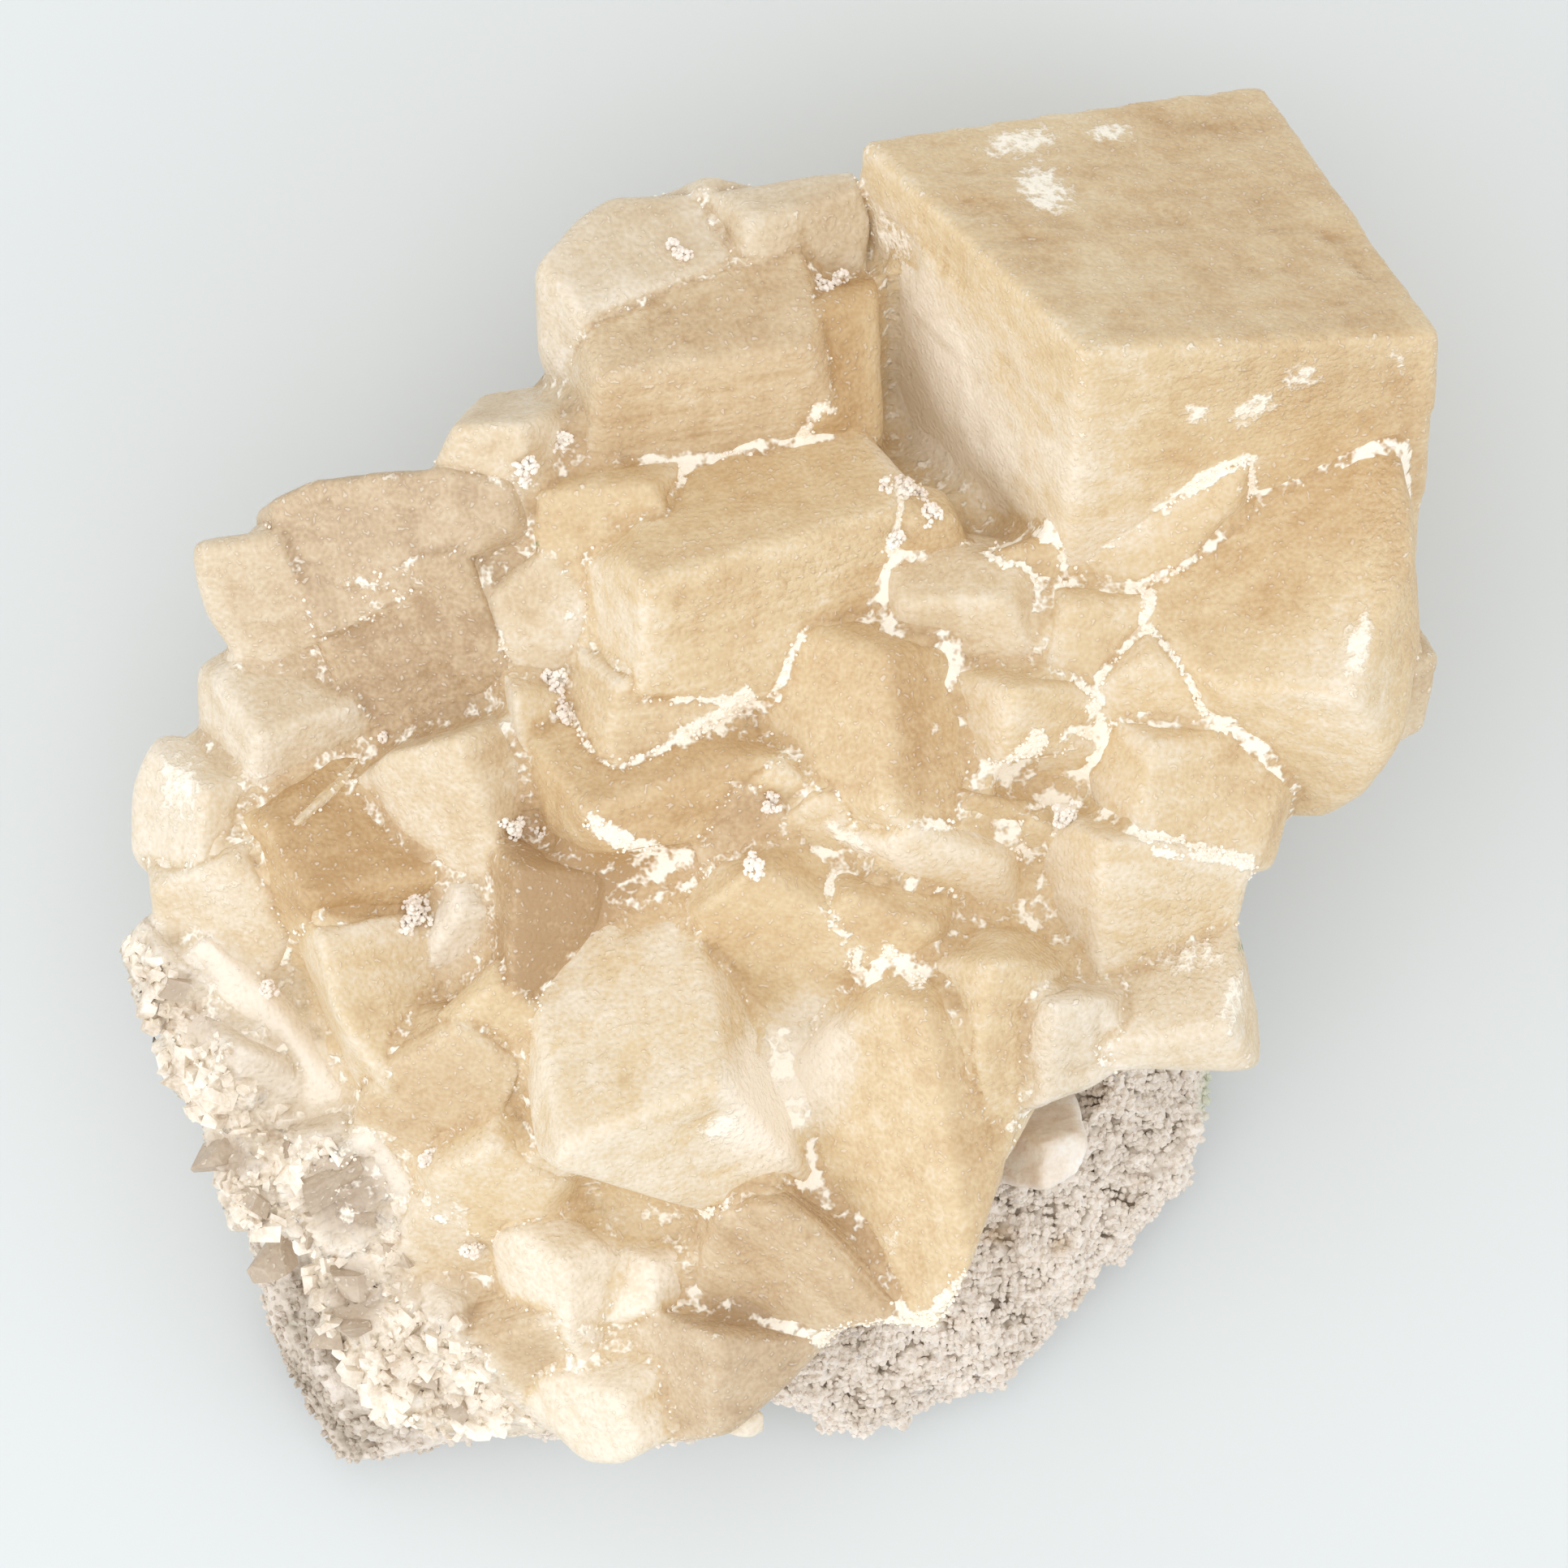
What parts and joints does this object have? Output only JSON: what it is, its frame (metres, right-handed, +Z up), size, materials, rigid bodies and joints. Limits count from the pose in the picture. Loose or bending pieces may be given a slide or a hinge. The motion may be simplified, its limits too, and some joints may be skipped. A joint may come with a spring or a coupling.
{
  "type": "calcite specimen",
  "caption": "Loose mineral specimen: honey and cream calcite rhombs grown through each other on a grey, pitted rock with a flat broken back to rest on.",
  "frame": {"origin": "centre of the flat broken back of the rock, on which the specimen lies", "axes": "+Z up from the resting face through the crystals, +X towards the side with the giant crystal, +Y towards its top edge in the picture"},
  "size_m": [0.1222, 0.1288, 0.0742],
  "materials": {
    "honey_calcite": "satin, translucent, honey and amber to cream, with white crust in the seams",
    "grey_rock": "rough, granular, grey to beige, cavernous",
    "pale_calcite": "satin, translucent, near white"
  },
  "bodies": {
    "root": {"calcite_cluster": "honey_calcite", "matrix_rock": "grey_rock", "pale_crystal": "pale_calcite"}
  },
  "joints": []
}
